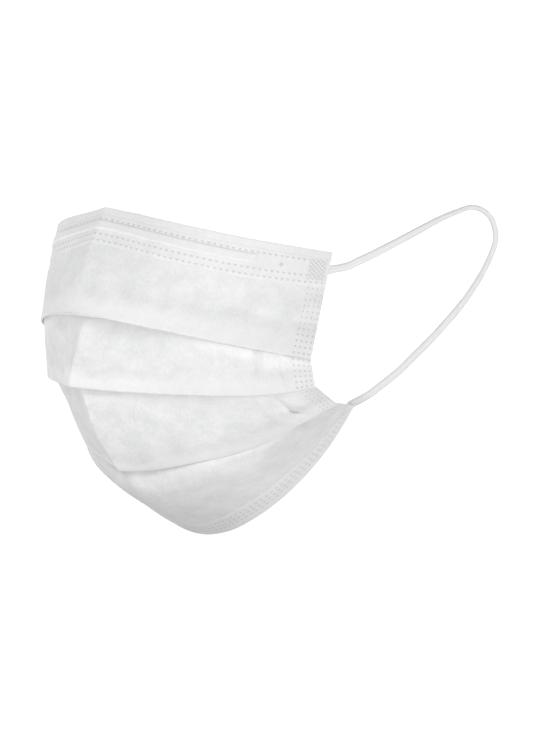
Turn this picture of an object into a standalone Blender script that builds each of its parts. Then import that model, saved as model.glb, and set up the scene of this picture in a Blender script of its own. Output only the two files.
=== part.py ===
"""A pleated surgical face mask in the shape it has when it is worn.

One folded sheet makes the body: a nose panel, an upper panel, a lower panel and a chin panel,
joined by three knife pleats that open downwards. A hem is folded over the top edge and over the
bottom edge, the nose wire lies in a raised channel of the top hem, and an elastic loop is welded
to the skin side of both corners on each side.

Metres, +Z up. The wearer looks along -Y and the wearer's left is +X. The origin is the top of the
centre crease, where the mask sits on the bridge of the nose.
"""

import math
from typing import NamedTuple

import bmesh
import bpy
import numpy as np

MM = 0.001

# The sheet
MASK_WIDTH = 175 * MM
WALL = 1.0 * MM
LAYER_GAP = 0.35 * MM
STATIONS_PER_HALF = 22

# Visible height of each panel along the centre crease
NOSE_PANEL = 40.0 * MM
UPPER_PANEL = 25.0 * MM
LOWER_PANEL = 41.5 * MM
CHIN_PANEL = 48.5 * MM

# Depth of each knife pleat, from its outer fold to its hidden fold
FIRST_PLEAT = 12.0 * MM
SECOND_PLEAT = 9.0 * MM
THIRD_PLEAT = 8.0 * MM

# How far each panel stands out between its folds
NOSE_BELLY = 0.6 * MM
UPPER_BELLY = 0.5 * MM
LOWER_BELLY = 1.5 * MM
CHIN_BELLY = 6.5 * MM

# The hems and the nose wire
TOP_HEM = 13.7 * MM
BOTTOM_HEM = 9.5 * MM
HEM_INNER_LEG = 1.0 * MM
NOSE_WIRE_LENGTH = 114 * MM
NOSE_WIRE_WIDTH = 2.6 * MM
NOSE_WIRE_THICKNESS = 0.6 * MM
NOSE_WIRE_DROP = 6.6 * MM
CHANNEL_END = 3.0 * MM

# The elastic loops, welded to the skin side
LOOP_DIAMETER = 3.0 * MM
LOOP_BEVEL_STEPS = 2

LAYER = WALL + LAYER_GAP
HALF_WIDTH = MASK_WIDTH / 2

# Shares of the half width, from the centre crease to the side, that the tables below refer to
KNOTS = (0.0, 0.2, 0.45, 0.75, 1.0)

# Share of the half width over which hidden layers turn away from the centre plane
CREASE_SHARE = 0.2

# Share of a panel that is hidden behind the pleat above it where the pleat stands open
SHOWING_SHARE = 0.12


class FoldLine(NamedTuple):
    """A line that runs across the mask, as long as the sheet is wide."""

    name: str
    drop: float
    lean: float
    headings: tuple
    climbs: tuple


class Pleat(NamedTuple):
    """A knife pleat below a fold line; its shares and angles are given at the knots."""

    depth: float
    shares: tuple
    openings: tuple
    closed: tuple


class Panel(NamedTuple):
    """The cloth between two fold lines; it stands out most at belly_at of its height."""

    belly: float
    belly_at: float
    rows: int


# drop: distance from the line above along the centre. lean: degrees that this drop is turned from
# straight down, towards the neck where positive. headings: degrees between the line and the X axis,
# seen from above, at the knots. climbs: degrees that the line rises there.
FOLD_LINES = (
    FoldLine("top edge", LAYER + WALL / 2, 0, (25, 10, 37, 62, 72), (-10, -10, -12, -10, -9)),
    FoldLine("first fold", NOSE_PANEL, -28, (26, 25, 39, 43, 42), (-2, -10, -12, -11, -9)),
    FoldLine("second fold", UPPER_PANEL, 2, (40, 39, 30, 50, 59), (-8, -4, -1, 1, 13)),
    FoldLine("third fold", LOWER_PANEL, 37, (46, 12, 42, 43, 93), (-4, 12, 13, 29, 17)),
    FoldLine("bottom edge", CHIN_PANEL, 55, (14, -6, 42, 76, 95), (6, 24, 39, 43, 42)),
)

# shares: of the pleat's depth. openings: degrees between the hidden layer and the panel before it.
# closed: 1 where the three layers lie flat on each other.
PLEATS = (
    Pleat(FIRST_PLEAT, (0.72, 1.0, 1.0, 1.0, 1.0), (58, 52, 34, 12, 0), (0.0, 0.0, 0.35, 0.85, 1.0)),
    Pleat(SECOND_PLEAT, (0.4, 0.5, 0.7, 0.9, 1.0), (55, 50, 30, 10, 0), (0.0, 0.1, 0.4, 0.85, 1.0)),
    Pleat(THIRD_PLEAT, (0.5, 0.6, 0.7, 0.9, 1.0), (50, 45, 30, 10, 0), (0.0, 0.1, 0.4, 0.85, 1.0)),
)

PANELS = (
    Panel(NOSE_BELLY, 0.5, 4),
    Panel(UPPER_BELLY, 0.5, 2),
    Panel(LOWER_BELLY, 0.5, 3),
    Panel(CHIN_BELLY, 0.22, 5),
)

# Middle line of the left loop in millimetres, from its upper weld to its lower weld. The right one
# is its mirror image, but its free back part hangs lower.
LEFT_LOOP_ROUTE = (
    (55.9, 41.1, -21.7),
    (57.8, 45.7, -22.2),
    (59.6, 50.3, -22.8),
    (61.3, 54.0, -22.4),
    (63.6, 57.6, -21.0),
    (66.3, 62.2, -18.9),
    (69.2, 68.5, -16.1),
    (72.3, 76.3, -12.5),
    (74.9, 84.5, -8.9),
    (77.0, 93.6, -5.3),
    (78.6, 104.0, -2.3),
    (79.4, 111.4, -1.1),
    (79.9, 118.6, -2.8),
    (80.1, 124.0, -7.2),
    (79.8, 126.0, -14.2),
    (78.6, 122.0, -23.0),
    (76.8, 116.7, -30.9),
    (74.3, 111.9, -37.6),
    (71.2, 107.1, -43.9),
    (67.6, 102.7, -50.0),
    (63.5, 98.4, -55.9),
    (59.0, 94.5, -61.8),
    (54.4, 90.4, -67.0),
    (50.2, 87.0, -70.8),
    (46.4, 84.6, -72.1),
    (44.3, 82.8, -72.5),
    (43.7, 80.9, -73.4),
    (44.2, 76.4, -76.4),
    (44.5, 71.6, -79.1),
)
LOOP_SAG = 18 * MM
LOOP_SAG_START = 85 * MM


def through(values, shares):
    """Smooth curve through a table's values at the knots, read at other shares."""
    knots = np.array(KNOTS)
    values = np.array(values, float)
    slopes = np.gradient(values, knots)
    shares = np.asarray(shares, float)
    left = np.clip(np.searchsorted(knots, shares, side="right") - 1, 0, len(knots) - 2)
    span = knots[left + 1] - knots[left]
    t = (shares - knots[left]) / span
    return (
        (2 * t**3 - 3 * t**2 + 1) * values[left]
        + (t**3 - 2 * t**2 + t) * span * slopes[left]
        + (3 * t**2 - 2 * t**3) * values[left + 1]
        + (t**3 - t**2) * span * slopes[left + 1]
    )


def unit(vectors):
    """Vectors scaled to length 1."""
    return vectors / np.linalg.norm(vectors, axis=-1, keepdims=True)


def fold_line(line, start, shares):
    """Points of a fold line: it keeps its length, and turns and climbs as its row says."""
    heading = np.radians(through(line.headings, shares))
    climb = np.radians(through(line.climbs, shares))
    steps = np.stack(
        [np.cos(climb) * np.cos(heading), np.cos(climb) * np.sin(heading), np.sin(climb)], -1
    )
    lengths = np.diff(shares)[:, None] * HALF_WIDTH
    points = np.cumsum((steps[1:] + steps[:-1]) / 2 * lengths, axis=0)
    return np.vstack([start, start + points])


def fold_lines(shares):
    """All fold lines, each hung from the one above it along the centre crease."""
    lines = []
    start = np.zeros(3)
    for line in FOLD_LINES:
        lean = math.radians(line.lean)
        start = start + line.drop * np.array([0, math.sin(lean), -math.cos(lean)])
        lines.append(fold_line(line, start, shares))
    return lines


def outward(line, down):
    """Unit normals on the outer side of cloth that runs along a line and hangs down from it."""
    return unit(np.cross(down, np.gradient(line, axis=0)))


def clear_of_crease(normals, shares):
    """Steps off the cloth that keep their distance from it but don't cross the centre plane."""
    near = np.clip(np.asarray(shares)[:, None] / CREASE_SHARE, 0, 1)
    steps = normals * np.concatenate([near, np.ones_like(near), np.ones_like(near)], axis=1)
    return steps / (steps * normals).sum(-1, keepdims=True)


def pleat_points(pleat, fold, above, below, shares):
    """Columns of a pleat: outer fold, its back, hidden fold, its back, and where cloth shows."""
    up = unit(above - fold)
    inward = -clear_of_crease(outward(fold, -up), shares)
    opening = np.radians(through(pleat.openings, shares))[:, None]
    depth = pleat.depth * through(pleat.shares, shares)[:, None]
    closed = through(pleat.closed, shares)[:, None]
    rise = np.cos(opening) * up + np.sin(opening) * unit(inward)
    turn = np.cos(opening) * inward - np.sin(opening) * up
    back = fold + LAYER * inward
    hidden = back + depth * rise
    hidden_back = hidden + LAYER * turn
    opened = hidden_back + (below - hidden_back) * SHOWING_SHARE
    shut = fold + 2 * LAYER * inward
    shows = opened + (shut - opened) * closed
    return [fold, back, hidden, hidden_back, shows]


def panel_points(panel, top, bottom, shares):
    """Columns inside a panel, which stands out between its two folds."""
    normals = clear_of_crease(outward(top, bottom - top), shares)
    fade = 1 - np.asarray(shares)[:, None] ** 2
    power = math.log(0.5) / math.log(panel.belly_at)
    columns = []
    for row in range(1, panel.rows + 1):
        share = row / (panel.rows + 1)
        swell = math.sin(math.pi * share**power)
        columns.append(top + (bottom - top) * share + normals * panel.belly * swell * fade)
    return columns


def body_columns(shares):
    """Columns of the folded sheet from the top edge to the bottom edge."""
    lines = fold_lines(shares)
    columns = [lines[0]]
    for index, panel in enumerate(PANELS):
        bottom = lines[index + 1]
        columns += panel_points(panel, columns[-1], bottom, shares)
        if index < len(PLEATS):
            above, below = columns[-1], lines[index + 2]
            columns += pleat_points(PLEATS[index], bottom, above, below, shares)
        else:
            columns.append(bottom)
    return columns


def both_halves(columns):
    """Rows of points from the right side to the left side, one column of cloth each."""
    grid = np.stack(columns, axis=1)
    mirrored = grid[:0:-1] * np.array([-1, 1, 1])
    return np.concatenate([mirrored, grid])


def make_material(name, colour, roughness):
    """Plain surface of one colour."""
    material = bpy.data.materials.new(name)
    material.use_nodes = True
    shader = material.node_tree.nodes["Principled BSDF"]
    shader.inputs["Base Color"].default_value = (*colour, 1)
    shader.inputs["Roughness"].default_value = roughness
    return material


def add_object(name, data, material):
    """Put a mesh or curve into the scene under its node's name."""
    data.materials.append(material)
    obj = bpy.data.objects.new(name, data)
    bpy.context.scene.collection.objects.link(obj)
    return obj


def mitred_offsets(grid):
    """Vectors that keep a wall's thickness even round its folds and across the centre crease."""
    along = unit(np.diff(grid, axis=1))
    across = unit(np.diff(grid, axis=0))
    before = np.concatenate([across[:1], across])
    after = np.concatenate([across, across[-1:]])
    cross_line = unit(before + after)
    spread = np.sqrt((1 + (before * after).sum(-1, keepdims=True)) / 2)
    first = np.concatenate([along[:, :1], along], axis=1)
    last = np.concatenate([along, along[:, -1:]], axis=1)
    normal_first = unit(np.cross(first, cross_line))
    normal_last = unit(np.cross(last, cross_line))
    turn = 1 + (normal_first * normal_last).sum(-1, keepdims=True)
    return (normal_first + normal_last) / turn / spread


def sheet_solid(name, grid, wall, material):
    """Closed wall of even thickness round a grid of points."""
    offsets = mitred_offsets(grid) * wall / 2
    bm = bmesh.new()
    sides = []
    for side in (1, -1):
        points = grid + offsets * side
        sides.append([[bm.verts.new(point) for point in row] for row in points])
    outer, inner = sides
    rows, columns = len(outer), len(outer[0])
    for i in range(rows - 1):
        for j in range(columns - 1):
            bm.faces.new((outer[i][j], outer[i][j + 1], outer[i + 1][j + 1], outer[i + 1][j]))
            bm.faces.new((inner[i][j], inner[i + 1][j], inner[i + 1][j + 1], inner[i][j + 1]))
    for i in range(rows - 1):
        bm.faces.new((outer[i][0], outer[i + 1][0], inner[i + 1][0], inner[i][0]))
        bm.faces.new((outer[i + 1][-1], outer[i][-1], inner[i][-1], inner[i + 1][-1]))
    for j in range(columns - 1):
        bm.faces.new((outer[0][j + 1], outer[0][j], inner[0][j], inner[0][j + 1]))
        bm.faces.new((outer[-1][j], outer[-1][j + 1], inner[-1][j + 1], inner[-1][j]))
    bmesh.ops.recalc_face_normals(bm, faces=bm.faces)
    mesh = bpy.data.meshes.new(name)
    bm.to_mesh(mesh)
    bm.free()
    mesh.shade_smooth()
    mesh.set_sharp_from_angle(angle=math.radians(35))
    return add_object(name, mesh, material)


def hem_columns(edge, down, shares, section):
    """Columns of a hem, from pairs of distance below the edge and distance off the sheet."""
    normals = clear_of_crease(outward(edge, down), shares)
    return [edge + down * below + normals * off for below, off in section]


def folded_over(leg):
    """Section of a hem whose two legs lie on both sides of the sheet."""
    return [
        (HEM_INNER_LEG, -LAYER),
        (HEM_INNER_LEG / 2, -LAYER),
        (-LAYER * 0.4, -LAYER),
        (-LAYER, -LAYER * 0.4),
        (-LAYER, LAYER * 0.4),
        (-LAYER * 0.4, LAYER),
        (leg, LAYER),
    ]


def side_shares():
    """Shares of the half width at which the sheet has a row of points."""
    return np.linspace(0, 1, STATIONS_PER_HALF + 1)


def build_body(material):
    """The folded sheet with its three pleats."""
    return sheet_solid("mask_panel", both_halves(body_columns(side_shares())), WALL, material)


def build_top_hem(material):
    """The hem over the top edge, raised into a channel along the nose wire."""
    half_channel = NOSE_WIRE_LENGTH / 2 + CHANNEL_END
    shares = np.sort(np.append(side_shares(), [
        (half_channel - CHANNEL_END / 2) / HALF_WIDTH,
        half_channel / HALF_WIDTH,
    ]))
    columns = body_columns(shares)
    edge, down = columns[0], unit(columns[1] - columns[0])
    normals = clear_of_crease(outward(edge, down), shares)
    raised = np.clip((half_channel - shares * HALF_WIDTH) / (CHANNEL_END / 2), 0, 1)[:, None]
    lift = raised * (NOSE_WIRE_THICKNESS + LAYER_GAP)
    reach = NOSE_WIRE_WIDTH / 2 + LAYER_GAP + WALL / 2
    result = hem_columns(edge, down, shares, folded_over(0)[:-1])
    for off_centre, height in ((-reach - WALL, 0), (-reach, 1), (reach, 1), (reach + WALL, 0)):
        below = NOSE_WIRE_DROP + off_centre
        result.append(edge + down * below + normals * (LAYER + lift * height))
    result.append(edge + down * TOP_HEM + normals * LAYER)
    return sheet_solid("top_hem", both_halves(result), WALL, material)


def build_nose_wire(material):
    """The flat wire between the sheet and the top hem."""
    shares = np.linspace(0, NOSE_WIRE_LENGTH / MASK_WIDTH, STATIONS_PER_HALF)
    columns = body_columns(shares)
    edge, down = columns[0], unit(columns[1] - columns[0])
    off = WALL / 2 + LAYER_GAP + NOSE_WIRE_THICKNESS / 2
    section = [
        (NOSE_WIRE_DROP - NOSE_WIRE_WIDTH / 2, off),
        (NOSE_WIRE_DROP + NOSE_WIRE_WIDTH / 2, off),
    ]
    grid = both_halves(hem_columns(edge, down, shares, section))
    return sheet_solid("nose_wire", grid, NOSE_WIRE_THICKNESS, material)


def build_bottom_hem(material):
    """The hem over the bottom edge."""
    shares = side_shares()
    columns = body_columns(shares)
    edge, up = columns[-1], unit(columns[-2] - columns[-1])
    normals = -clear_of_crease(outward(edge, up), shares)
    result = [edge + up * below + normals * off for below, off in folded_over(BOTTOM_HEM)]
    return sheet_solid("bottom_hem", both_halves(result), WALL, material)


def smooth_route(points, spacing):
    """Evenly spaced points of a smooth curve through a cord's route."""
    route = np.array(points, float)
    padded = np.vstack([2 * route[0] - route[1], route, 2 * route[-1] - route[-2]])
    fine = []
    for a, b, c, d in zip(padded, padded[1:], padded[2:], padded[3:]):
        for t in np.linspace(0, 1, 24, endpoint=False):
            fine.append(
                0.5 * (2 * b + (c - a) * t + (2 * a - 5 * b + 4 * c - d) * t**2
                       + (3 * b - a - 3 * c + d) * t**3)
            )
    fine = np.vstack([fine, route[-1:]])
    walked = np.concatenate([[0], np.cumsum(np.linalg.norm(np.diff(fine, axis=0), axis=1))])
    count = max(2, round(walked[-1] / spacing))
    stops = np.linspace(0, walked[-1], count + 1)
    return np.stack([np.interp(stops, walked, fine[:, axis]) for axis in range(3)], -1)


def loop_route(side):
    """A loop's route in metres; side is 1 for the wearer's left and -1 for the right."""
    route = np.array(LEFT_LOOP_ROUTE) * MM
    if side < 0:
        back = (route[:, 1] - LOOP_SAG_START) / (route[:, 1].max() - LOOP_SAG_START)
        route[:, 2] -= LOOP_SAG * np.clip(back, 0, 1)
        route[:, 0] *= -1
    return route


def build_loop(name, side, material):
    """One elastic loop, a cord between the two corners of its side."""
    points = smooth_route(loop_route(side), LOOP_DIAMETER * 1.4)
    curve = bpy.data.curves.new(name, "CURVE")
    curve.dimensions = "3D"
    curve.bevel_depth = LOOP_DIAMETER / 2
    curve.bevel_resolution = LOOP_BEVEL_STEPS
    curve.use_fill_caps = True
    spline = curve.splines.new("POLY")
    spline.points.add(len(points) - 1)
    for control, point in zip(spline.points, points):
        control.co = (*point, 1)
    return add_object(name, curve, material)


def main():
    """Clear the scene and build the mask."""
    for obj in list(bpy.data.objects):
        bpy.data.objects.remove(obj)
    cloth = make_material("spunbond_white", (0.86, 0.88, 0.88), 0.85)
    wire = make_material("nose_wire_white", (0.8, 0.81, 0.82), 0.5)
    elastic = make_material("elastic_warm_white", (0.82, 0.81, 0.8), 0.75)
    build_body(cloth)
    build_top_hem(cloth)
    build_nose_wire(wire)
    build_bottom_hem(cloth)
    build_loop("ear_loop_left", 1, elastic)
    build_loop("ear_loop_right", -1, elastic)


main()
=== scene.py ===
"""The looks of a pleated surgical face mask in the shape that it has when it is worn.

The cloth is one laminate with three knife pleats, drawn here with its pressed weld dots, creases and
soft wrinkles. Two hems are folded over its edges, the upper one over the nose wire, and a knitted
elastic is welded to its skin side as a loop on each side.
"""

import logging
import math
from collections.abc import Callable
from dataclasses import dataclass
from enum import Enum
from functools import partial

import bpy
import numpy as np
from mathutils import Matrix, Vector


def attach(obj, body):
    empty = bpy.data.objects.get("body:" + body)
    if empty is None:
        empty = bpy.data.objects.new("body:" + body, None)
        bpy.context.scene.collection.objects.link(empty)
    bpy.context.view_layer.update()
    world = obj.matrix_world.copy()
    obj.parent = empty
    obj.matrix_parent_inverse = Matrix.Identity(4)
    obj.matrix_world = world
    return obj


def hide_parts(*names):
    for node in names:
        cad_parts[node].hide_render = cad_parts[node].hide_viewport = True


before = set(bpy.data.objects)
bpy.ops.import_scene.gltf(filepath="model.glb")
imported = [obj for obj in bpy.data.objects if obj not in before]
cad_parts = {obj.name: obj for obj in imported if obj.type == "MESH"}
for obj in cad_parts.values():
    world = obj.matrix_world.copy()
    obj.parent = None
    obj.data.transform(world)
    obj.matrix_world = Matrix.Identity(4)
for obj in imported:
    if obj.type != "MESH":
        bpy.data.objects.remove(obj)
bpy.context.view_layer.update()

MM = 0.001
ROOT = "root"

# Shares of the half width, from the centre crease to the side, that the tables refer to
KNOTS = (0.0, 0.2, 0.45, 0.75, 1.0)

log = logging.getLogger("mask")

# Adds a node to one material and gives its output socket
NodeMaker = Callable[..., bpy.types.NodeSocket]


# Measures on rows of points, and what the pieces and finishes share


def unit(vectors: np.ndarray) -> np.ndarray:
    """Vectors scaled to length 1."""
    return vectors / np.linalg.norm(vectors, axis=-1, keepdims=True)


def ramp(values: np.ndarray, start: float, end: float) -> np.ndarray:
    """Smooth step from 0 at start to 1 at end."""
    t = np.clip((values - start) / (end - start), 0, 1)
    return t * t * (3 - 2 * t)


def through(values: tuple[float, ...], shares: np.ndarray) -> np.ndarray:
    """Smooth curve through a table's values at the knots.

    Args:
        values: one value for each knot.
        shares: shares of the half width to read the curve at.

    Returns:
        The curve's values there.
    """
    knots = np.array(KNOTS)
    table = np.array(values, float)
    slopes = np.gradient(table, knots)
    left = np.clip(np.searchsorted(knots, shares, side="right") - 1, 0, len(knots) - 2)
    span = knots[left + 1] - knots[left]
    t = (shares - knots[left]) / span
    return (
        (2 * t**3 - 3 * t**2 + 1) * table[left]
        + (t**3 - 2 * t**2 + t) * span * slopes[left]
        + (3 * t**2 - 2 * t**3) * table[left + 1]
        + (t**3 - t**2) * span * slopes[left + 1]
    )


def ripples(x: np.ndarray, y: np.ndarray, seed: int) -> np.ndarray:
    """Smooth noise from -1 to 1, with about one bump for each unit of x and y.

    Args:
        x: first coordinate, in bumps.
        y: second coordinate, in bumps.
        seed: which noise it is.

    Returns:
        The noise at those places.
    """
    lattice = np.random.default_rng(seed).uniform(-1, 1, (64, 64))
    column, row = np.floor(x).astype(int), np.floor(y).astype(int)
    across, down = ramp(x - column, 0, 1), ramp(y - row, 0, 1)
    near = lattice[column % 64, row % 64]
    right = lattice[(column + 1) % 64, row % 64]
    below = lattice[column % 64, (row + 1) % 64]
    far = lattice[(column + 1) % 64, (row + 1) % 64]
    upper = near + (right - near) * across
    lower = below + (far - below) * across
    return upper + (lower - upper) * down


def within(values: np.ndarray, start: float, end: float, soft: float) -> np.ndarray:
    """1 between start and end and 0 outside them, with soft borders inside."""
    return ramp(values, start, start + soft) * (1 - ramp(values, end - soft, end))


def distance_along(points: np.ndarray) -> np.ndarray:
    """Distance of each point from the start of its row."""
    steps = np.linalg.norm(np.diff(points, axis=-2), axis=-1)
    return np.concatenate([np.zeros((*steps.shape[:-1], 1)), np.cumsum(steps, axis=-1)], axis=-1)


def read_along(places: np.ndarray, walk: np.ndarray, vectors: np.ndarray) -> np.ndarray:
    """Vectors read at some distances along each row.

    Args:
        places: the distances, one list for all rows or one for each.
        walk: distance along its row of each known vector.
        vectors: rows of known vectors.

    Returns:
        One vector for each distance in each row.
    """
    places = np.broadcast_to(places, (len(walk), np.shape(places)[-1]))
    by_axis = [
        [np.interp(at, run, row[:, axis]) for at, run, row in zip(places, walk, vectors)]
        for axis in range(3)
    ]
    return np.stack(by_axis, -1)


def straight(start: np.ndarray, end: np.ndarray, steps: int) -> list[np.ndarray]:
    """Evenly spaced points after the start, up to the end."""
    return [start + (end - start) * step / steps for step in range(1, steps + 1)]


def arc(
    start: np.ndarray, centre: np.ndarray, ahead: np.ndarray, turn: np.ndarray | float, steps: int
) -> list[np.ndarray]:
    """Points on a circle, after its start.

    Args:
        start: where it starts.
        centre: the step from there to its centre.
        ahead: the way that it sets out, as long as the step to the centre.
        turn: the angle that it turns through.
        steps: how many points it gets.

    Returns:
        The points, the last one where the turn is complete.
    """
    angles = [turn * step / steps for step in range(1, steps + 1)]
    return [start + centre * (1 - np.cos(angle)) + ahead * np.sin(angle) for angle in angles]


def way(azimuth: float, elevation: float) -> Vector:
    """Direction from the mask, in degrees from straight ahead of it and above the floor."""
    a, e = math.radians(azimuth), math.radians(elevation)
    return Vector((math.sin(a) * math.cos(e), -math.cos(a) * math.cos(e), math.sin(e)))


def linear(hex_colour: str) -> tuple[float, float, float, float]:
    """Linear colour of an sRGB hex value.

    Args:
        hex_colour: six hex digits, with or without a hash.

    Returns:
        Red, green, blue and an alpha of 1.
    """
    digits = hex_colour.lstrip("#")
    parts = [int(digits[i : i + 2], 16) / 255 for i in (0, 2, 4)]
    curved = [c / 12.92 if c <= 0.04045 else ((c + 0.055) / 1.055) ** 2.4 for c in parts]
    return (*curved, 1.0)


def add_node(
    tree: bpy.types.NodeTree,
    kind: str,
    settings: dict | None = None,
    links: dict | None = None,
    out: int | str = 0,
) -> bpy.types.NodeSocket:
    """Add a node with its settings and its incoming links.

    Args:
        tree: the material's node tree.
        kind: the node's type without the ShaderNode in front.
        settings: input names or numbers, or the node's own properties, with their values.
        links: input names or numbers, with the output socket that each is joined to.
        out: name or number of the output that is wanted.

    Returns:
        That output socket of the new node.
    """
    made = tree.nodes.new("ShaderNode" + kind)
    for key, value in (settings or {}).items():
        if isinstance(key, int) or key in made.inputs:
            made.inputs[key].default_value = value
        else:
            setattr(made, key, value)
    for key, socket in (links or {}).items():
        tree.links.new(socket, made.inputs[key])
    return made.outputs[out]


def new_material(name: str) -> tuple[bpy.types.Material, NodeMaker]:
    """Start a material.

    Args:
        name: the material's name.

    Returns:
        The material, and what adds a node to it.
    """
    material = bpy.data.materials.new(name)
    material.use_nodes = True
    return material, partial(add_node, material.node_tree)


def set_shader(material: bpy.types.Material, values: dict, links: dict | None = None) -> None:
    """Set up the sockets of a material's shader.

    Args:
        material: the material.
        values: what is the same all over the surface, by socket.
        links: what changes over it, by socket.
    """
    shader = material.node_tree.nodes["Principled BSDF"]
    for name, value in values.items():
        shader.inputs[name].default_value = value
    for name, socket in (links or {}).items():
        material.node_tree.links.new(socket, shader.inputs[name])


def select_only(piece: bpy.types.Object) -> None:
    """Make a piece the one selected and active object.

    Args:
        piece: the piece.
    """
    bpy.ops.object.select_all(action="DESELECT")
    piece.select_set(True)
    bpy.context.view_layer.objects.active = piece


def make_piece(
    name: str,
    points: np.ndarray,
    faces: list[tuple[int, ...]],
    spots: np.ndarray,
    press: np.ndarray | None = None,
    lattice: np.ndarray | None = None,
) -> bpy.types.Object:
    """Make a mesh object whose vertices know their place on the unrolled cloth.

    Args:
        name: the piece's name.
        points: one row for each vertex, in metres.
        faces: vertex numbers, turned to face outwards.
        spots: place of each vertex on the unrolled cloth, in metres.
        press: how hard each vertex is pressed by a weld, from 0 to 1, or below 0 where light is
            painted on; painted shade lines also lie above 0.
        lattice: place of each vertex among the weld dots, which are at whole numbers.

    Returns:
        The object, linked to the scene.
    """
    mesh = bpy.data.meshes.new(name)
    mesh.from_pydata(points.tolist(), [], faces)
    corners = np.zeros(len(mesh.loops), np.int32)
    mesh.loops.foreach_get("vertex_index", corners)
    for label, places in (("Unrolled", spots), ("Dots", lattice)):
        if places is not None:
            layer = mesh.uv_layers.new(name=label)
            layer.data.foreach_set("uv", places[corners].astype(np.float32).ravel())
    if press is not None:
        weld = mesh.attributes.new("press", "FLOAT", "POINT")
        weld.data.foreach_set("value", press.astype(np.float32).ravel())
    mesh.validate()
    mesh.shade_smooth()
    piece = bpy.data.objects.new(name, mesh)
    bpy.context.scene.collection.objects.link(piece)
    return piece


def give_thickness(piece: bpy.types.Object, thickness: float) -> None:
    """Turn an open sheet into a closed one, half of its thickness on each side.

    Args:
        piece: the sheet.
        thickness: its thickness in metres.
    """
    solid = piece.modifiers.new("thickness", "SOLIDIFY")
    solid.thickness = thickness
    solid.offset = 0
    solid.use_even_offset = True
    select_only(piece)
    bpy.ops.object.modifier_apply(modifier=solid.name)


def put_on_frame(
    piece: bpy.types.Object, finish: bpy.types.Material, node: str
) -> None:
    """Give a piece its finish and its place on the frame.

    Args:
        piece: the piece.
        finish: its material.
        node: the solid that it stands for.
    """
    piece.data.materials.append(finish)
    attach(piece, ROOT)
    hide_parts(node)


# The cloth's form, from the same tables as the solids


class Side(Enum):
    """A side of the wearer; its value is the sign of X there."""

    LEFT = 1
    RIGHT = -1


class Edge(Enum):
    """The edge of the cloth that a hem is folded over; its value is the panel there."""

    TOP = 0
    BOTTOM = 3


@dataclass(frozen=True)
class FoldLine:
    """A line that runs across the mask, as long as the sheet is wide.

    drop is its distance from the line above along the centre, and lean the degrees that this drop is
    turned from straight down. headings and climbs are degrees at the knots; right_headings and
    right_climbs stand in for them where the wearer's right is folded in further.
    """

    drop: float
    lean: float
    headings: tuple[float, ...]
    climbs: tuple[float, ...]
    right_headings: tuple[float, ...] = ()
    right_climbs: tuple[float, ...] = ()

    def turns(self, side: Side) -> tuple[tuple[float, ...], tuple[float, ...]]:
        """Headings and climbs of one side.

        Args:
            side: which side.

        Returns:
            The headings and the climbs at the knots, in degrees.
        """
        if side is Side.RIGHT:
            return self.right_headings or self.headings, self.right_climbs or self.climbs
        return self.headings, self.climbs


@dataclass(frozen=True)
class Pleat:
    """A knife pleat below a fold line; shares, openings and closed are given at the knots.

    right_openings and right_closed stand in for them where the wearer's right is shut further.
    """

    depth: float
    shares: tuple[float, ...]
    openings: tuple[float, ...]
    closed: tuple[float, ...]
    right_openings: tuple[float, ...] = ()
    right_closed: tuple[float, ...] = ()

    def gaps(self, side: Side) -> tuple[tuple[float, ...], tuple[float, ...]]:
        """Openings and closed shares of one side.

        Args:
            side: which side.

        Returns:
            The openings in degrees and the closed shares, at the knots.
        """
        if side is Side.RIGHT:
            return self.right_openings or self.openings, self.right_closed or self.closed
        return self.openings, self.closed


@dataclass(frozen=True)
class Panel:
    """The cloth between two folds, which stands out most at belly_at of its height.

    The higher flatten is, the sooner the belly ends towards the sides.
    """

    belly: float
    belly_at: float
    dot_rows: int
    flatten: float = 1.0


@dataclass(frozen=True)
class Crease:
    """A soft ridge, or a dent where height is negative, pressed into one panel.

    path holds points of millimetres from the centre crease, positive on the wearer's left, and share
    of the panel's height from its top. One that comes from_fold has its full height at its start.
    """

    panel: int
    path: tuple[tuple[float, float], ...]
    width: float
    height: float
    from_fold: bool = False


@dataclass
class Grid:
    """Rows of points from the wearer's right to the left, each running down the folded sheet."""

    across: np.ndarray
    points: np.ndarray
    panel: np.ndarray
    share: np.ndarray

    @property
    def normals(self) -> np.ndarray:
        """Unit normals on the outer side of the cloth."""
        along, down = (np.gradient(self.points, axis=axis) for axis in (0, 1))
        return unit(np.cross(down, along))

    @property
    def walk(self) -> np.ndarray:
        """Distance down the cloth from its top edge."""
        return distance_along(self.points)

    def from_edge(self, edge: Edge) -> tuple[np.ndarray, np.ndarray, np.ndarray]:
        """The panel at an edge of the cloth, with its columns counted from there.

        Args:
            edge: which edge.

        Returns:
            Its points, their normals and their distances from the edge.
        """
        columns = np.flatnonzero(self.panel == edge.value)
        if edge is Edge.BOTTOM:
            columns = columns[::-1]
        points = self.points[:, columns]
        return points, self.normals[:, columns], distance_along(points)


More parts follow.
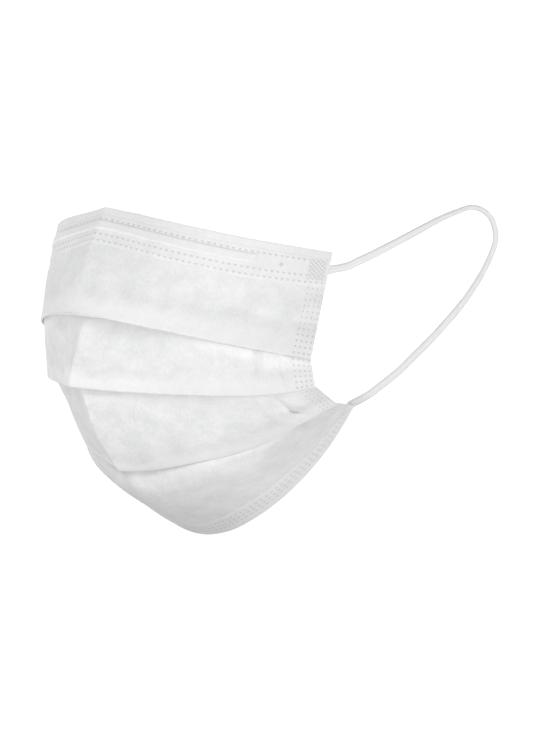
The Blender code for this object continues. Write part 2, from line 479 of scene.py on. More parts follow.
@dataclass
class FoldedSheet:
    """The laminate's middle surface with its pleats, creases and soft wrinkles."""

    width: float = 175 * MM
    skin_shift: float = 0.3 * MM
    hem_rise: float = 1.75 * MM
    hem_drop: tuple[float, ...] = (2.0, 2.2, 2.5, 3.1, 3.4)
    fold_rises: tuple[float, ...] = (1.4 * MM, 0.75 * MM, 1.2 * MM)
    open_layer: float = 0.95 * MM
    shut_layer: float = 0.55 * MM
    crease_share: float = 0.2
    showing_share: float = 0.12
    arc_steps: int = 6
    hidden_rows: int = 6
    return_rows: int = 6
    dot_columns: tuple[float, ...] = (1.1, 2.9, 4.75, 6.6)
    strip: float = 9.4
    wrinkle: float = 0.22
    fine_wrinkle: float = 0.08
    lines: tuple[FoldLine, ...] = (
        FoldLine(1.85 * MM, 0, (25, 10, 37, 62, 72), (-10, -10, -12, -10, -9)),
        FoldLine(
            40.0 * MM, -28, (26, 25, 39, 43, 42), (-2, -10, -12, -11, -9),
            (26, 26, 42, 53, 59), (-2, -9, -11, -11, -9),
        ),
        FoldLine(25.0 * MM, 2, (40, 39, 30, 50, 59), (-8, -4, -1, 1, 13)),
        FoldLine(41.5 * MM, 37, (46, 12, 42, 43, 93), (-4, 12, 13, 29, 17)),
        FoldLine(48.5 * MM, 55, (14, -6, 42, 76, 95), (6, 24, 39, 43, 42)),
    )
    pleats: tuple[Pleat, ...] = (
        Pleat(
            12 * MM, (0.72, 1, 1, 1, 1), (58, 48, 24, 6, 0), (0, 0.1, 0.6, 0.95, 1),
            (58, 30, 0, 0, 0), (0, 0.6, 1, 1, 1),
        ),
        Pleat(9 * MM, (0.4, 0.5, 0.7, 0.9, 1), (55, 50, 30, 10, 0), (0, 0.1, 0.4, 0.85, 1)),
        Pleat(8 * MM, (0.5, 0.6, 0.7, 0.9, 1), (50, 32, 14, 4, 0), (0, 0.4, 0.8, 0.97, 1)),
    )
    panels: tuple[Panel, ...] = (
        Panel(0.6 * MM, 0.5, 18),
        Panel(0.5 * MM, 0.5, 6),
        Panel(1.5 * MM, 0.5, 8),
        Panel(6.5 * MM, 0.22, 14, 2.6),
    )
    creases: tuple[Crease, ...] = ()

    @property
    def half(self) -> float:
        """Half of the sheet's width."""
        return self.width / 2

    def stations(self) -> np.ndarray:
        """Distances from the centre at which the cloth has a row of points, in metres.

        Returns:
            Distances that are close at the centre crease and round the columns of weld dots.
        """
        centre = [0, 0.5, 1.0, 1.6, 2.3, 3.2, 4.4]
        side = self.half / MM
        middle = [*np.arange(5.9, 63, 1.5), *np.arange(63.6, side - self.strip - 0.5, 0.65)]
        near_dots = [side - dot + step for dot in self.dot_columns for step in (-0.45, 0, 0.45)]
        between = [side - dot - 0.92 for dot in self.dot_columns]
        strip = sorted([side, side - 0.3, side - self.strip, *near_dots, *between])
        return np.array([*centre, *middle, *strip]) * MM

    def fold_line(
        self, line: FoldLine, start: np.ndarray, shares: np.ndarray, side: Side
    ) -> np.ndarray:
        """Points of a fold line, drawn on the wearer's left for both sides.

        Args:
            line: the fold line's row of the table.
            start: its point on the centre crease.
            shares: shares of the half width.
            side: whose table is read.

        Returns:
            One point for each share.
        """
        fine = np.linspace(0, 1, 401)
        headings, climbs = line.turns(side)
        heading = np.radians(through(headings, fine))
        climb = np.radians(through(climbs, fine))
        steps = np.stack(
            [np.cos(climb) * np.cos(heading), np.cos(climb) * np.sin(heading), np.sin(climb)], -1
        )
        lengths = np.diff(fine)[:, None] * self.half
        run = np.vstack([start, start + np.cumsum((steps[1:] + steps[:-1]) / 2 * lengths, 0)])
        return read_along(shares, fine[None], run[None])[0]

    def fold_lines(self, shares: np.ndarray, side: Side) -> list[np.ndarray]:
        """All fold lines, moved out so that the thin cloth shows where the solid's skin is.

        Args:
            shares: shares of the half width.
            side: whose tables are read.

        Returns:
            The lines from the top edge to the bottom edge, which reach to the solid hems' ends.
        """
        lines = []
        start = np.zeros(3)
        for line in self.lines:
            lean = math.radians(line.lean)
            start = start + line.drop * np.array([0, math.sin(lean), -math.cos(lean)])
            lines.append(self.fold_line(line, start, shares, side))
        drop = through(self.hem_drop, shares)[:, None] * MM
        top = lines[0] + unit(lines[0] - lines[1]) * self.hem_rise
        bottom = lines[-1] + unit(lines[-1] - lines[-2]) * drop
        folds = [
            fold + unit(above - fold) * rise
            for above, fold, rise in zip(lines, lines[1:-1], self.fold_rises)
        ]
        lines = [top, *folds, bottom]
        moved = []
        for index, line in enumerate(lines):
            above, below = lines[max(index - 1, 0)], lines[min(index + 1, len(lines) - 1)]
            out = self.clear_of_crease(self.outward(line, below - above), shares)
            moved.append(line + out * self.skin_shift)
        return moved

    @staticmethod
    def outward(line: np.ndarray, down: np.ndarray) -> np.ndarray:
        """Unit normals on the outer side of cloth that hangs down from a line."""
        return unit(np.cross(down, np.gradient(line, axis=0)))

    def clear_of_crease(self, normals: np.ndarray, shares: np.ndarray) -> np.ndarray:
        """Steps off the cloth that don't cross the centre plane.

        Args:
            normals: unit normals.
            shares: shares of the half width.

        Returns:
            The steps, which keep a distance of 1 from the cloth.
        """
        near = np.clip(shares[:, None] / self.crease_share, 0, 1)
        steps = normals * np.concatenate([near, np.ones_like(near), np.ones_like(near)], axis=1)
        return steps / (steps * normals).sum(-1, keepdims=True)

    def pleat_columns(
        self,
        pleat: Pleat,
        fold: np.ndarray,
        above: np.ndarray,
        below: np.ndarray,
        shares: np.ndarray,
        side: Side,
    ) -> list[np.ndarray]:
        """Columns of a pleat: round its outer fold, up, round its hidden fold and down again.

        Args:
            pleat: the pleat's row of the table.
            fold: points of the outer fold.
            above: points just above it on its panel.
            below: points of the next outer fold.
            shares: shares of the half width.
            side: whose tables are read.

        Returns:
            The columns after the outer fold, the last one where the next panel starts.
        """
        up = unit(above - fold)
        inward = -self.clear_of_crease(self.outward(fold, -up), shares)
        openings, shut_shares = pleat.gaps(side)
        opening = np.radians(np.maximum(through(openings, shares), 0))[:, None]
        depth = pleat.depth * through(pleat.shares, shares)[:, None]
        closed = np.clip(through(shut_shares, shares), 0, 1)[:, None]
        spacing = self.open_layer + (self.shut_layer - self.open_layer) * closed**2
        radius = spacing / 2
        rise = np.cos(opening) * up + np.sin(opening) * unit(inward)
        turn = np.cos(opening) * inward - np.sin(opening) * up
        columns = arc(fold, radius * inward, -radius * up, math.pi - opening, self.arc_steps)
        columns += straight(columns[-1], columns[-1] + depth * rise, self.hidden_rows)
        columns += arc(columns[-1], radius * turn, radius * rise, math.pi, self.arc_steps)
        hidden = columns[-1]
        opened = hidden + (below - hidden) * self.showing_share
        shut = fold + 2 * spacing * inward
        return columns + straight(hidden, opened + (shut - opened) * closed, self.return_rows)

    def panel_columns(
        self, panel: Panel, top: np.ndarray, bottom: np.ndarray, shares: np.ndarray
    ) -> tuple[list[np.ndarray], list[float]]:
        """Columns of a panel below its top, with the rows that the weld dots need.

        Args:
            panel: the panel's row of the table.
            top: points where it starts.
            bottom: points of the fold where it ends.
            shares: shares of the half width.

        Returns:
            The columns, the last one at the fold, and the share of the height of each.
        """
        normals = self.clear_of_crease(self.outward(top, bottom - top), shares)
        fade = (1 - shares[:, None] ** 2) ** panel.flatten
        power = math.log(0.5) / math.log(panel.belly_at)
        near, rest = 0.21, 0.29
        steps = np.array([rest, near, near, rest])
        heights = np.cumsum(np.tile(steps, panel.dot_rows)) / panel.dot_rows
        columns = []
        for height in heights:
            swell = math.sin(math.pi * min(height, 1.0) ** power)
            columns.append(top + (bottom - top) * height + normals * panel.belly * swell * fade)
        return columns, list(heights)

    def half_columns(
        self, shares: np.ndarray, side: Side
    ) -> tuple[list[np.ndarray], list[tuple[int, float]]]:
        """Columns of one half from the top edge to the bottom edge, drawn on the wearer's left.

        Args:
            shares: shares of the half width.
            side: which half.

        Returns:
            The columns, and for each its panel, or -1 in a pleat, and its share of the height.
        """
        lines = self.fold_lines(shares, side)
        columns, tags = [lines[0]], [(0, 0.0)]
        for index, panel in enumerate(self.panels):
            made, heights = self.panel_columns(panel, columns[-1], lines[index + 1], shares)
            columns += made
            tags += [(index, height) for height in heights]
            if index < len(self.pleats):
                folded = self.pleat_columns(
                    self.pleats[index], columns[-1], columns[-2], lines[index + 2], shares, side
                )
                columns += folded
                tags += [(-1, float(index))] * (len(folded) - 1) + [(index + 1, 0.0)]
        return columns, tags

    def crease_reach(self, panel: np.ndarray, share: np.ndarray) -> np.ndarray:
        """How far the centre crease is rounded in each column: softest at the first fold.

        Args:
            panel: panel of each column.
            share: share of the panel's height of each column.

        Returns:
            One length in metres for each column.
        """
        reach = np.full(len(panel), 0.6)
        nose = panel == 0
        reach[nose] = 0.9 + 6.0 * ramp(share[nose], 0.3, 0.95)
        chin = panel == 3
        reach[chin] = 3.0 + 4.0 * ramp(share[chin], 0.0, 0.3)
        for pleat, start, end in ((0, 6.5, 0.6), (2, 0.6, 3.0)):
            inside = (panel < 0) & (share == pleat)
            reach[inside] = np.linspace(start, end, inside.sum())
        return reach * MM

    def rounded(self, across: np.ndarray, points: np.ndarray, reach: np.ndarray) -> np.ndarray:
        """Points with the centre crease rounded.

        Args:
            across: signed distance of each row from the centre.
            points: the grid's points.
            reach: one length for each column.

        Returns:
            The new points.
        """
        result = points.copy()
        weights = np.gradient(across)
        for column, length in enumerate(reach):
            near = np.abs(across) < 4 * length
            apart = (across[near, None] - across[None, :]) / length
            mix = np.exp(-0.5 * apart**2) * weights
            mix /= mix.sum(1, keepdims=True)
            fade = np.exp(-((across[near] / (2.5 * length)) ** 4))[:, None]
            new = mix @ points[:, column]
            result[near, column] += (new - points[near, column]) * fade
        return result

    def relief(self, grid: Grid) -> np.ndarray:
        """Height of the creases and soft wrinkles over the smooth cloth.

        Args:
            grid: the smooth cloth.

        Returns:
            One height for each point, in metres.
        """
        walk = grid.walk
        height = np.zeros(walk.shape)
        across = np.broadcast_to(grid.across[:, None], walk.shape) / MM
        inside = ramp(self.half / MM - np.abs(across), self.strip - 3, self.strip + 4)
        for index in range(len(self.panels)):
            columns = np.flatnonzero(grid.panel == index)
            share = grid.share[columns]
            fade = np.sin(np.pi * np.clip(share, 0, 1)) ** 0.7
            x, y = across[:, columns], walk[:, columns] / MM + 31 * index
            soft = self.wrinkle * ripples(x / 13, y / 11, 3 + index)
            soft += self.fine_wrinkle * ripples(x / 4.5, y / 5, 13)
            height[:, columns] += soft * MM * fade * inside[:, columns]
        for crease in self.creases:
            columns = np.flatnonzero(grid.panel == crease.panel)
            top = walk[:, columns[:1]]
            deep = walk[:, columns[-1:]] - top
            spot = np.stack([across[:, columns], (walk[:, columns] - top) / MM], -1)
            tall = deep / MM
            best = np.full(spot.shape[:2], np.inf)
            travel = np.zeros(spot.shape[:2])
            legs = list(zip(crease.path, crease.path[1:]))
            for number, (start, end) in enumerate(legs):
                a = np.stack([np.full_like(tall, start[0]), start[1] * tall], -1)
                b = np.stack([np.full_like(tall, end[0]), end[1] * tall], -1)
                leg = b - a
                t = np.clip(((spot - a) * leg).sum(-1) / (leg**2).sum(-1), 0, 1)
                apart = np.linalg.norm(spot - a - t[..., None] * leg, axis=-1)
                nearer = apart < best
                best = np.where(nearer, apart, best)
                travel = np.where(nearer, (number + t) / len(legs), travel)
            taper = np.sin(np.pi * np.clip(travel, 0.02, 0.98)) ** 0.6
            if crease.from_fold:
                taper = np.sin(np.pi * (0.5 + 0.48 * travel)) ** 0.6
            height[:, columns] += crease.height * taper * np.exp(-((best * MM / crease.width) ** 2))
        return height

    def under_hem(
        self, edge: Edge, side: Side, places: tuple[tuple[float, float], ...], depth: float
    ) -> np.ndarray:
        """Points behind the cloth near a corner.

        Args:
            edge: the edge of the cloth there.
            side: which side of the mask.
            places: distances from the side and from the edge in millimetres, furthest first.
            depth: distance behind the cloth's middle surface.

        Returns:
            One point for each place.
        """
        from_side, from_edge = np.array(places).T * MM
        grid = self.grid(np.concatenate([[0, 1 * MM], self.half - from_side]))
        rows = np.flatnonzero(grid.across * side.value > 2 * MM)
        rows = rows if side is Side.LEFT else rows[::-1]
        points, normals, walk = (values[rows] for values in grid.from_edge(edge))
        return read_along(from_edge[:, None], walk, points - normals * depth)[:, 0]

    def grid(self, distances: np.ndarray) -> Grid:
        """The whole cloth at some distances from the centre, on both sides.

        Args:
            distances: distances from the centre in metres, from 0 to half of the width.

        Returns:
            The grid with its creases and wrinkles.
        """
        columns, tags = self.half_columns(distances / self.half, Side.LEFT)
        left = np.stack(columns, axis=1)
        right = np.stack(self.half_columns(distances / self.half, Side.RIGHT)[0], axis=1)
        points = np.concatenate([right[:0:-1] * np.array([-1, 1, 1]), left])
        across = np.concatenate([-distances[:0:-1], distances])
        panel = np.array([tag[0] for tag in tags])
        share = np.array([tag[1] for tag in tags])
        points = self.rounded(across, points, self.crease_reach(panel, share))
        smooth = Grid(across, points, panel, share)
        return Grid(
            across, points + smooth.normals * self.relief(smooth)[..., None], panel, share
        )


# Finishes


@dataclass(frozen=True)
class Spunbond:
    """Spunbond polypropylene: a matt white web of melted threads held by rows of point bonds.

    The eye gets a soft chalky white, cloudy where the web is denser, with short fine strokes of
    thread down the cloth and a faint grid of bonds. A weld melts it to a smoother, greyer film.
    """

    name: str = "spunbond_polypropylene"
    web: str = "#EAEAEA"
    thin_web: str = "#D6D7D7"
    film: str = "#CACBCB"
    # Painted light: the whiter colour for press below 0, partly the whiter look of layers behind the
    # cloth
    painted_light_and_layers: str = "#F9F9F9"
    let_through: float = 0.5
    let_reach: float = 1.0 * MM
    bond_pitch: float = 0.85 * MM
    bond_tint: float = 0.14
    cloud: float = 8 * MM
    bump_depth: float = 0.1 * MM
    sheen: float = 0.15
    roughness: float = 0.82
    film_roughness: float = 0.45
    # Bundles of thread about 0.5 mm wide: turn in radians, scale for each metre, and weight
    strokes: tuple[tuple[float, tuple[float, float, float], float], ...] = (
        (0.18, (2000, 760, 1), 0.3), (-0.3, (1900, 640, 1), 0.26), (1.2, (1700, 800, 1), 0.2),
    )

    def clouds(self, node: NodeMaker, place: bpy.types.NodeSocket) -> bpy.types.NodeSocket:
        """Density of the web, from wide clouds down to single bundles of thread.

        Args:
            node: adds a node to the material.
            place: place on the unrolled cloth.

        Returns:
            A socket of values round 0.5.
        """
        wide = {"Scale": 1 / self.cloud, "Detail": 6.0, "Roughness": 0.74}
        fine = {"Scale": 1.0, "Detail": 1.0, "Distortion": 0.4}
        total = node("TexNoise", wide, {"Vector": place})
        for turn, scale, weight in self.strokes:
            turned = node("Mapping", {"Scale": scale, "Rotation": (0, 0, turn)}, {"Vector": place})
            thread = node("TexNoise", fine, {"Vector": turned})
            centred = node("Math", {"operation": "SUBTRACT", 1: 0.5}, {0: thread})
            total = node("Math", {"operation": "MULTIPLY_ADD", 1: weight}, {0: centred, 2: total})
        return total

    def bonds(self, node: NodeMaker, place: bpy.types.NodeSocket) -> bpy.types.NodeSocket:
        """Point bonds, drawn a little further apart than the real 0.6 mm so that they show.

        Args:
            node: adds a node to the material.
            place: place on the unrolled cloth.

        Returns:
            A socket with 1 on the bonds and 0 between them.
        """
        pitch = {"Scale": (math.tau / self.bond_pitch / 2,) * 3, "Rotation": (0, 0, 0.7)}
        axes = node("SeparateXYZ", links={0: node("Mapping", pitch, {"Vector": place})}).node.outputs
        waves = {k: node("Math", {"operation": "COSINE"}, {0: axes[k]}) for k in (0, 1)}
        crossed = node("Math", {"operation": "MULTIPLY"}, waves)
        both = node("Math", {"operation": "ABSOLUTE"}, {0: crossed})
        return node("MapRange", {"From Min": 0.55, "From Max": 0.95}, {"Value": both})

    def dots(self, node: NodeMaker) -> bpy.types.NodeSocket:
        """Round weld dots at the whole numbers of the piece's second map.

        Args:
            node: adds a node to the material.

        Returns:
            A socket with 1 on the dots and 0 between them.
        """
        place = node("UVMap", {"uv_map": "Dots"})
        for step in (
            {"operation": "ADD", 1: (0.5, 0.5, 0.5)},
            {"operation": "FRACTION"},
            {"operation": "SUBTRACT", 1: (0.5, 0.5, 0.5)},
            {"operation": "MULTIPLY", 1: (1.0, 1.0, 0.0)},
        ):
            place = node("VectorMath", step, {0: place})
        apart = node("VectorMath", {"operation": "LENGTH"}, {0: place}, "Value")
        rim = {"From Min": 0.215, "From Max": 0.13, "interpolation_type": "SMOOTHSTEP"}
        return node("MapRange", rim, {"Value": apart})

    def build(self) -> bpy.types.Material:
        """Make the material's nodes.

        Returns:
            The material.
        """
        material, node = new_material(self.name)
        place = node("UVMap", {"uv_map": "Unrolled"})
        # Weld press, which also carries painted shade lines above 0 and painted light below 0
        weld = node("Attribute", {"attribute_name": "press"}, out="Fac")
        press = node("Math", {"operation": "MAXIMUM"}, {0: weld, 1: self.dots(node)})
        pressed = node("Math", {"operation": "MAXIMUM", 1: 0.0}, {0: press})
        # Press below 0 paints light: the whiter colour lifts the shade under the folds and lights
        # the hems' raised web and channel, partly the whiter look of the layers behind
        swell = node("Math", {"operation": "MULTIPLY", 1: -1.0, "use_clamp": True}, {0: weld})
        clouds, bonds = self.clouds(node, place), self.bonds(node, place)
        density = node("MapRange", {"From Min": 0.28, "From Max": 0.7}, {"Value": clouds})
        webs = {"data_type": "RGBA", 6: linear(self.thin_web), 7: linear(self.web)}
        colour = node("Mix", webs, {0: density}, 2)
        faint = node("Math", {"operation": "MULTIPLY", 1: self.bond_tint}, {0: bonds})
        for amount, target in ((faint, self.film), (swell, self.painted_light_and_layers), (pressed, self.film)):
            tint = {"data_type": "RGBA", 7: linear(target)}
            colour = node("Mix", tint, {0: amount, 6: colour}, 2)
        gloss = {"To Min": self.roughness, "To Max": self.film_roughness}
        rough = node("MapRange", gloss, {"Value": pressed})
        lumps = node("Math", {"operation": "MULTIPLY_ADD", 1: -0.35}, {0: bonds, 2: clouds})
        bump = node("Bump", {"Strength": 0.45, "Distance": self.bump_depth}, {"Height": lumps})
        set_shader(
            material,
            {
                "Subsurface Weight": self.let_through,
                "Subsurface Radius": (1, 1, 1),
                "Subsurface Scale": self.let_reach,
                "Sheen Weight": self.sheen,
                "Sheen Roughness": 0.6,
                "Specular IOR Level": 0.2,
            },
            {"Base Color": colour, "Roughness": rough, "Normal": bump},
        )
        return material


@dataclass(frozen=True)
class KnittedElastic:
    """Knitted elastic: fine nylon ribs over rubber threads, matt and a little warmer than the web.

    The eye gets a soft cord with faint ribs along it and short stitches across them.
    """

    name: str = "knitted_elastic"
    yarn: str = "#F1EEEE"
    # Painted shade: the darker colour in the knit's grooves, between its ribs and stitches
    painted_groove_shade: str = "#DBD9D9"
    stitch: float = 0.85 * MM
    rib: float = 0.75 * MM
    fuzz: float = 0.3 * MM
    bump_depth: float = 0.08 * MM
    roughness: float = 0.75
    sheen: float = 0.3

    def build(self) -> bpy.types.Material:
        """Make the material's nodes.

        Returns:
            The material.
        """
        material, node = new_material(self.name)
        unrolled = node("UVMap", {"uv_map": "Unrolled"})
        pitch = {"Scale": (math.tau / self.stitch, math.tau / self.rib, 1)}
        scaled = node("Mapping", pitch, {"Vector": unrolled})
        axes = node("SeparateXYZ", links={0: scaled}).node.outputs
        along = node("Math", {"operation": "SINE"}, {0: axes["X"]})
        around = node("Math", {"operation": "COSINE"}, {0: axes["Y"]})
        both = node("Math", {"operation": "MULTIPLY_ADD", 1: 0.6}, {0: along, 2: around})
        height = node("MapRange", {"From Min": -1.6, "From Max": 1.6}, {"Value": both})
        fuzz = node("TexNoise", {"Scale": 1 / self.fuzz, "Detail": 2.0}, {"Vector": unrolled})
        surface = node("Math", {"operation": "MULTIPLY_ADD", 1: 0.5}, {0: fuzz, 2: height})
        # The grooves get painted shade
        yarns = {"data_type": "RGBA", 6: linear(self.painted_groove_shade), 7: linear(self.yarn)}
        colour = node("Mix", yarns, {0: height}, 2)
        bump = node("Bump", {"Strength": 0.3, "Distance": self.bump_depth}, {"Height": surface})
        set_shader(
            material,
            {"Roughness": self.roughness, "Sheen Weight": self.sheen},
            {"Base Color": colour, "Normal": bump},
        )
        return material


@dataclass(frozen=True)
class CoatedWire:
    """White polyethylene round a thin wire, extruded smooth: a satin strip, faintly streaked."""

    name: str = "polyethylene_coated_wire"
    coat: str = "#E4E5E7"
    streak: str = "#D6D8DA"
    streak_size: float = 2 * MM

    def build(self) -> bpy.types.Material:
        """Make the material's nodes.

        Returns:
            The material.
        """
        material, node = new_material(self.name)
        place = node("TexCoord", out="Object")
        size = {"Scale": 1 / self.streak_size, "Detail": 3.0}
        streaks = node("TexNoise", size, {"Vector": place})
        coats = {"data_type": "RGBA", 6: linear(self.streak), 7: linear(self.coat)}
        colour = node("Mix", coats, {0: streaks}, 2)
        set_shader(material, {"Roughness": 0.4, "IOR": 1.51}, {"Base Color": colour})
        return material


# Pieces


@dataclass
class EarLoop:
    """A knitted elastic, flattened and welded to the skin side at both of its ends."""

    side: Side
    sheet: FoldedSheet
    width: float = 2.9 * MM
    thickness: float = 2.05 * MM
    weld: float = 8.5 * MM
    seat: float = 0.72 * MM
    top_weld: tuple[tuple[float, float], ...] = ((8.5, 7.2), (5.5, 7.0), (2.5, 6.8), (0.3, 6.6))
    bottom_weld: tuple[tuple[float, float], ...] = ((8.5, 5.6), (5.5, 4.2), (2.5, 2.9), (0.3, 1.9))
    free: tuple[int, int] = (4, 24)
    spacing: float = 0.5 * MM
    corners: int = 28
    ribs: int = 9
    rib_height: float = 0.02 * MM
    uneven: float = 0.05 * MM
    uneven_over: float = 3 * MM
    smooth_over: int = 41
    sag: float = 18 * MM
    sag_start: float = 85 * MM
    facing: tuple[float, float, float] = (0.65, -0.75, 0.1)
    twists: tuple[tuple[float, float], ...] = (
        (0.0, 0), (0.14, -20), (0.26, -50), (0.42, -104), (0.5, -112), (0.6, -124), (0.7, -142),
        (0.8, -165), (0.9, -180), (1.0, -180),
    )
    route: tuple[tuple[float, float, float], ...] = (
        (0.0559, 0.0411, -0.0217), (0.0578, 0.0457, -0.0222), (0.0596, 0.0503, -0.0228),
        (0.0613, 0.0540, -0.0224), (0.0636, 0.0576, -0.0210), (0.0663, 0.0622, -0.0189),
        (0.0692, 0.0685, -0.0161), (0.0723, 0.0763, -0.0125), (0.0749, 0.0845, -0.0089),
        (0.0770, 0.0936, -0.0053), (0.0786, 0.1040, -0.0023), (0.0794, 0.1114, -0.0011),
        (0.0799, 0.1186, -0.0028), (0.0801, 0.1240, -0.0072), (0.0798, 0.1260, -0.0142),
        (0.0786, 0.1220, -0.0230), (0.0768, 0.1167, -0.0309), (0.0743, 0.1119, -0.0376),
        (0.0712, 0.1071, -0.0439), (0.0676, 0.1027, -0.0500), (0.0635, 0.0984, -0.0559),
        (0.0590, 0.0945, -0.0618), (0.0544, 0.0904, -0.0668), (0.0502, 0.0870, -0.0709),
        (0.0464, 0.0846, -0.0721), (0.0443, 0.0828, -0.0725), (0.0437, 0.0809, -0.0734),
        (0.0442, 0.0764, -0.0764), (0.0445, 0.0716, -0.0791),
    )

    @property
    def name(self) -> str:
        """Name of the side in lower case."""
        return self.side.name.lower()

    def path(self) -> np.ndarray:
        """Evenly spaced points of the loop's middle line, pressed onto the cloth at its ends.

        Returns:
            The points in metres.
        """
        route = np.array(self.route)
        if self.side is Side.RIGHT:
            back = (route[:, 1] - self.sag_start) / (route[:, 1].max() - self.sag_start)
            route[:, 2] -= self.sag * np.clip(back, 0, 1)
            route[:, 0] *= -1
        top = self.sheet.under_hem(Edge.TOP, self.side, self.top_weld, self.seat)
        bottom = self.sheet.under_hem(Edge.BOTTOM, self.side, self.bottom_weld, self.seat)
        route = np.vstack([top, route[self.free[0] : self.free[1]], bottom[::-1]])
        padded = np.vstack([2 * route[0] - route[1], route, 2 * route[-1] - route[-2]])
        fine = []
        for a, b, c, d in zip(padded, padded[1:], padded[2:], padded[3:]):
            for t in np.linspace(0, 1, 24, endpoint=False):
                fine.append(
                    0.5 * (2 * b + (c - a) * t + (2 * a - 5 * b + 4 * c - d) * t**2
                           + (3 * b - a - 3 * c + d) * t**3)
                )
        fine = np.vstack([fine, route[-1:]])
        run = distance_along(fine)
        stops = np.linspace(0, run[-1], round(run[-1] / self.spacing) + 1)
        return read_along(stops, run[None], fine[None])[0]

    def build(self) -> bpy.types.Object:
        """Make the elastic as a closed tube with a flat round section that turns along its way.

        Returns:
            The piece.
        """
        line = self.path()
        walked = distance_along(line)
        share = walked / walked[-1]
        tangent = unit(np.gradient(line, axis=0))
        axes = []
        for place, weld in ((Edge.TOP, self.top_weld), (Edge.BOTTOM, self.bottom_weld)):
            outer = self.sheet.under_hem(place, self.side, weld, 0.0)
            inner = self.sheet.under_hem(place, self.side, weld, 1 * MM)
            axes.append(unit(outer - inner)[1])
        start, end = (1 - ramp(share, 0.03, 0.09))[:, None], ramp(share, 0.93, 0.97)[:, None]
        middle = np.array(self.facing) * [self.side.value, 1, 1]
        side_axis = start * axes[0] + end * axes[1] + (1 - start - end) * middle
        flat = unit(side_axis - (tangent * side_axis).sum(-1, keepdims=True) * tangent)
        edge = np.cross(tangent, flat) * self.side.value
        at, degrees = zip(*self.twists)
        twist = np.radians(np.interp(share, at, degrees))
        kernel = np.hanning(self.smooth_over)
        twist = np.pad(twist, self.smooth_over // 2, mode="edge")
        twist = np.convolve(twist, kernel / kernel.sum(), mode="valid")[:, None]
        wide = np.cos(twist) * edge + np.sin(twist) * flat
        thick = -np.sin(twist) * edge + np.cos(twist) * flat
        flat_end = 1 - ramp(
            np.minimum(walked, walked[-1] - walked), 0.7 * self.weld, 1.4 * self.weld
        )
        half_width = self.width / 2 * (1 + 0.2 * flat_end)
        half_thick = self.thickness / 2 * (1 - 0.55 * flat_end)
        uneven = self.uneven * ripples(walked / self.uneven_over, np.zeros(len(walked)), 5)
        points, spots = [], []
        for angle in np.arange(self.corners) / self.corners * math.tau:
            grow = (uneven + self.rib_height * math.cos(self.ribs * angle))[:, None]
            c, s = (np.sign(v) * abs(v) ** 0.85 for v in (math.cos(angle), math.sin(angle)))
            ring = line + wide * c * (half_width[:, None] + grow)
            points.append(ring + thick * s * (half_thick[:, None] + grow))
            around = np.full(len(line), angle / math.tau * math.pi * self.width * 0.8)
            spots.append(np.stack([walked, around], -1))
        number = np.arange(len(line) * self.corners).reshape(len(line), self.corners)
        beside = np.roll(number, -1, axis=1)
        faces = np.stack([number[:-1], beside[:-1], beside[1:], number[1:]], -1).reshape(-1, 4)
        faces = [*faces.tolist(), number[0, ::-1].tolist(), number[-1].tolist()]
        piece = make_piece(
            f"elastic_{self.name}", np.stack(points, 1).reshape(-1, 3), faces,
            np.stack(spots, 1).reshape(-1, 2),
        )
        select_only(piece)
        bpy.ops.object.mode_set(mode="EDIT")
        bpy.ops.mesh.select_all(action="SELECT")
        bpy.ops.mesh.normals_make_consistent(inside=False)
        bpy.ops.object.mode_set(mode="OBJECT")
        return piece

    def dress(self, piece: bpy.types.Object, finish: bpy.types.Material) -> None:
        """Args:
            piece: the elastic.
            finish: its material.
        """
        put_on_frame(piece, finish, f"ear_loop_{self.name}")
        line = self.path()
        length = float(distance_along(line)[-1])
        log.info("elastic %s: %.0f mm long", self.name, length / MM)


